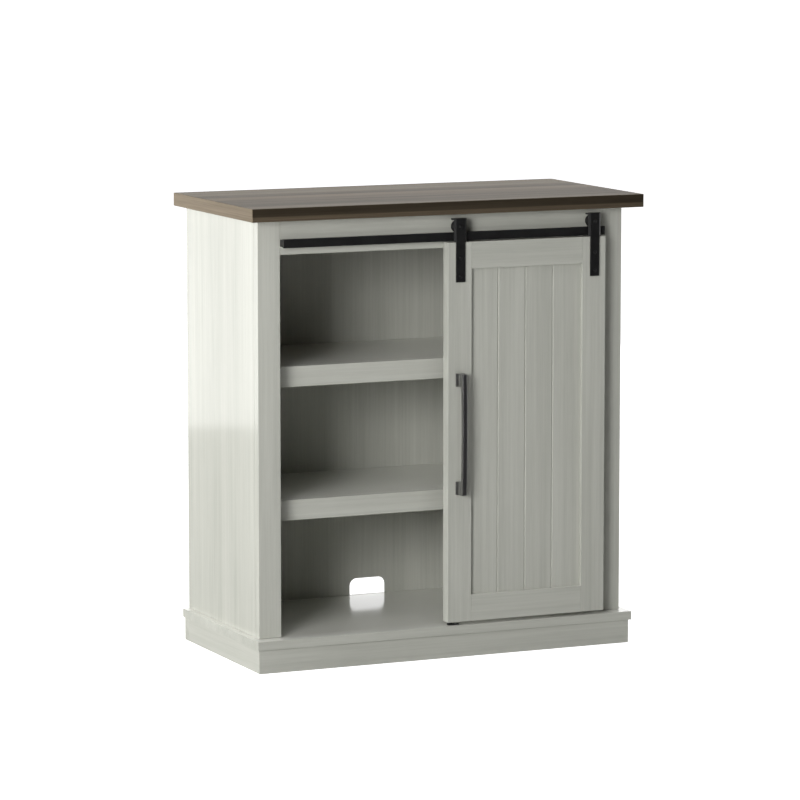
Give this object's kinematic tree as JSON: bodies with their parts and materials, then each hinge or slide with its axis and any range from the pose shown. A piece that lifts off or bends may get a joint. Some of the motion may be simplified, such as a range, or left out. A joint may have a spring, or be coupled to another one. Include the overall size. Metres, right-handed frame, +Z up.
{
  "type": "sideboard",
  "caption": "Sideboard cabinet with open shelf bays, a sliding beadboard barn door on a flat track, a plinth base and an overhanging wood-look top.",
  "frame": {"origin": "on the floor, under the middle of the box that holds the whole piece with its handle", "axes": "+X to the right seen from the front, +Y towards the back, +Z up; the door and handle face -Y"},
  "size_m": [0.8002, 0.4044, 0.8636],
  "materials": {
    "grey_wood": "satin greige laminate with a fine painted wood grain",
    "walnut_top": "matt weathered walnut laminate in planks along X",
    "black_steel": "satin black powder coat",
    "gunmetal": "dark gunmetal, semi-gloss",
    "black_nylon": "moulded nylon",
    "zinc_steel": "bright zinc plate"
  },
  "bodies": {
    "cabinet": {"top_panel": "walnut_top", "left_side_panel": "grey_wood", "right_side_panel": "grey_wood", "left_stile": "grey_wood", "right_stile": "grey_wood", "top_rail": "grey_wood", "rear_stretcher": "grey_wood", "back_panel": "grey_wood", "bottom_panel": "grey_wood", "plinth_front": "grey_wood", "plinth_left": "grey_wood", "plinth_right": "grey_wood", "plinth_rear": "grey_wood", "plinth_brace": "grey_wood", "lower_shelf_apron": "grey_wood", "lower_shelf_board": "grey_wood", "upper_shelf_apron": "grey_wood", "upper_shelf_board": "grey_wood", "shelf_pin_lower_left_front": "zinc_steel", "shelf_pin_lower_left_rear": "zinc_steel", "shelf_pin_lower_right_front": "zinc_steel", "shelf_pin_lower_right_rear": "zinc_steel", "shelf_pin_upper_left_front": "zinc_steel", "shelf_pin_upper_left_rear": "zinc_steel", "shelf_pin_upper_right_front": "zinc_steel", "shelf_pin_upper_right_rear": "zinc_steel", "track_rail": "black_steel", "track_spacer_left": "black_steel", "track_bolt_left": "zinc_steel", "track_spacer_middle": "black_steel", "track_bolt_middle": "zinc_steel", "track_spacer_right": "black_steel", "track_bolt_right": "zinc_steel", "door_guide": "black_nylon", "guide_screw": "zinc_steel"},
    "door": {"door_left_stile": "grey_wood", "door_right_stile": "grey_wood", "door_bottom_rail": "grey_wood", "door_top_rail": "grey_wood", "door_panel": "grey_wood", "handle_bar": "gunmetal", "handle_foot_lower": "gunmetal", "handle_foot_upper": "gunmetal", "handle_screw_lower": "zinc_steel", "handle_screw_upper": "zinc_steel", "hanger_left": "black_steel", "axle_bolt_left": "black_steel", "wheel_bush_left": "zinc_steel", "axle_nut_left": "zinc_steel", "hanger_screw_left_upper": "black_steel", "hanger_screw_left_lower": "black_steel", "hanger_right": "black_steel", "axle_bolt_right": "black_steel", "wheel_bush_right": "zinc_steel", "axle_nut_right": "zinc_steel", "hanger_screw_right_upper": "black_steel", "hanger_screw_right_lower": "black_steel"},
    "wheel_left_body": {"wheel_left": "black_nylon"},
    "wheel_right_body": {"wheel_right": "black_nylon"}
  },
  "joints": [
    {"name": "door_slide", "type": "slide", "parent": "cabinet", "child": "door", "axis": [1, 0, 0], "range_m": [-0.3106, 0]},
    {"name": "left_wheel_spin", "type": "hinge", "parent": "door", "child": "wheel_left_body", "pos_m": [0.0235, -0.16662, 0.8144], "axis": [0, 1, 0], "continuous": true},
    {"name": "right_wheel_spin", "type": "hinge", "parent": "door", "child": "wheel_right_body", "pos_m": [0.3029, -0.16662, 0.8144], "axis": [0, 1, 0], "continuous": true}
  ],
  "couplings": [
    {"joint": "left_wheel_spin", "follows": "door_slide", "rad_per_m": 95.238},
    {"joint": "right_wheel_spin", "follows": "door_slide", "rad_per_m": 95.238}
  ]
}
